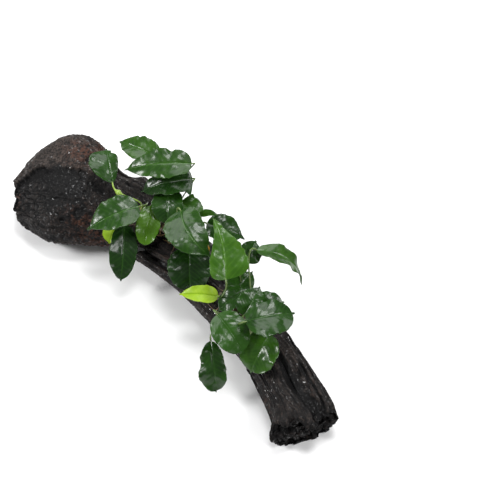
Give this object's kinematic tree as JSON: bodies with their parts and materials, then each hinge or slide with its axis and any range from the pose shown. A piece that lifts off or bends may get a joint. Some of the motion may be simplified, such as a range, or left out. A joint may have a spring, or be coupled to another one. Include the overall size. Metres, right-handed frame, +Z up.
{
  "type": "anubias on driftwood",
  "caption": "Forked piece of dark driftwood with two crowns of broad, pointed green leaves on arching stalks, lying flat as an aquarium decoration.",
  "frame": {"origin": "middle of the footprint, on the surface that the driftwood lies on", "axes": "+Z up; +Y away from the front of the piece, toward the driftwood's broad head; +X to the right, toward the long limb's broken end"},
  "size_m": [0.2853, 0.2958, 0.1062],
  "materials": {
    "driftwood": "wet, dark brown to black, with rough long grain",
    "rhizome": "damp olive brown, ringed",
    "stalk": "smooth yellow green",
    "leaf": "wet, glossy dark green, ribbed",
    "young_leaf": "wet, glossy mid green, ribbed",
    "yellow_leaf": "glossy lime yellow, ribbed"
  },
  "bodies": {
    "root": {"driftwood_head": "driftwood", "driftwood_limb": "driftwood", "rhizome_upper": "rhizome", "rhizome_lower": "rhizome", "blade_upper_01": "leaf", "stalk_upper_01": "stalk", "blade_upper_02": "leaf", "stalk_upper_02": "stalk", "blade_upper_03": "yellow_leaf", "stalk_upper_03": "stalk", "blade_upper_04": "leaf", "stalk_upper_04": "stalk", "blade_upper_05": "young_leaf", "stalk_upper_05": "stalk", "blade_upper_06": "leaf", "stalk_upper_06": "stalk", "blade_upper_07": "leaf", "stalk_upper_07": "stalk", "blade_upper_08": "leaf", "stalk_upper_08": "stalk", "blade_upper_09": "leaf", "stalk_upper_09": "stalk", "blade_upper_10": "leaf", "stalk_upper_10": "stalk", "blade_upper_11": "leaf", "stalk_upper_11": "stalk", "blade_upper_12": "leaf", "stalk_upper_12": "stalk", "blade_upper_13": "leaf", "stalk_upper_13": "stalk", "blade_upper_14": "leaf", "stalk_upper_14": "stalk", "blade_lower_01": "young_leaf", "stalk_lower_01": "stalk", "blade_lower_02": "yellow_leaf", "stalk_lower_02": "stalk", "blade_lower_03": "leaf", "stalk_lower_03": "stalk", "blade_lower_04": "leaf", "stalk_lower_04": "stalk", "blade_lower_05": "leaf", "stalk_lower_05": "stalk", "blade_lower_06": "leaf", "stalk_lower_06": "stalk", "blade_lower_07": "leaf", "stalk_lower_07": "stalk", "blade_lower_08": "leaf", "stalk_lower_08": "stalk", "blade_lower_09": "leaf", "stalk_lower_09": "stalk", "blade_lower_10": "leaf", "stalk_lower_10": "stalk", "blade_lower_11": "leaf", "stalk_lower_11": "stalk", "blade_lower_12": "leaf", "stalk_lower_12": "stalk"}
  },
  "joints": []
}
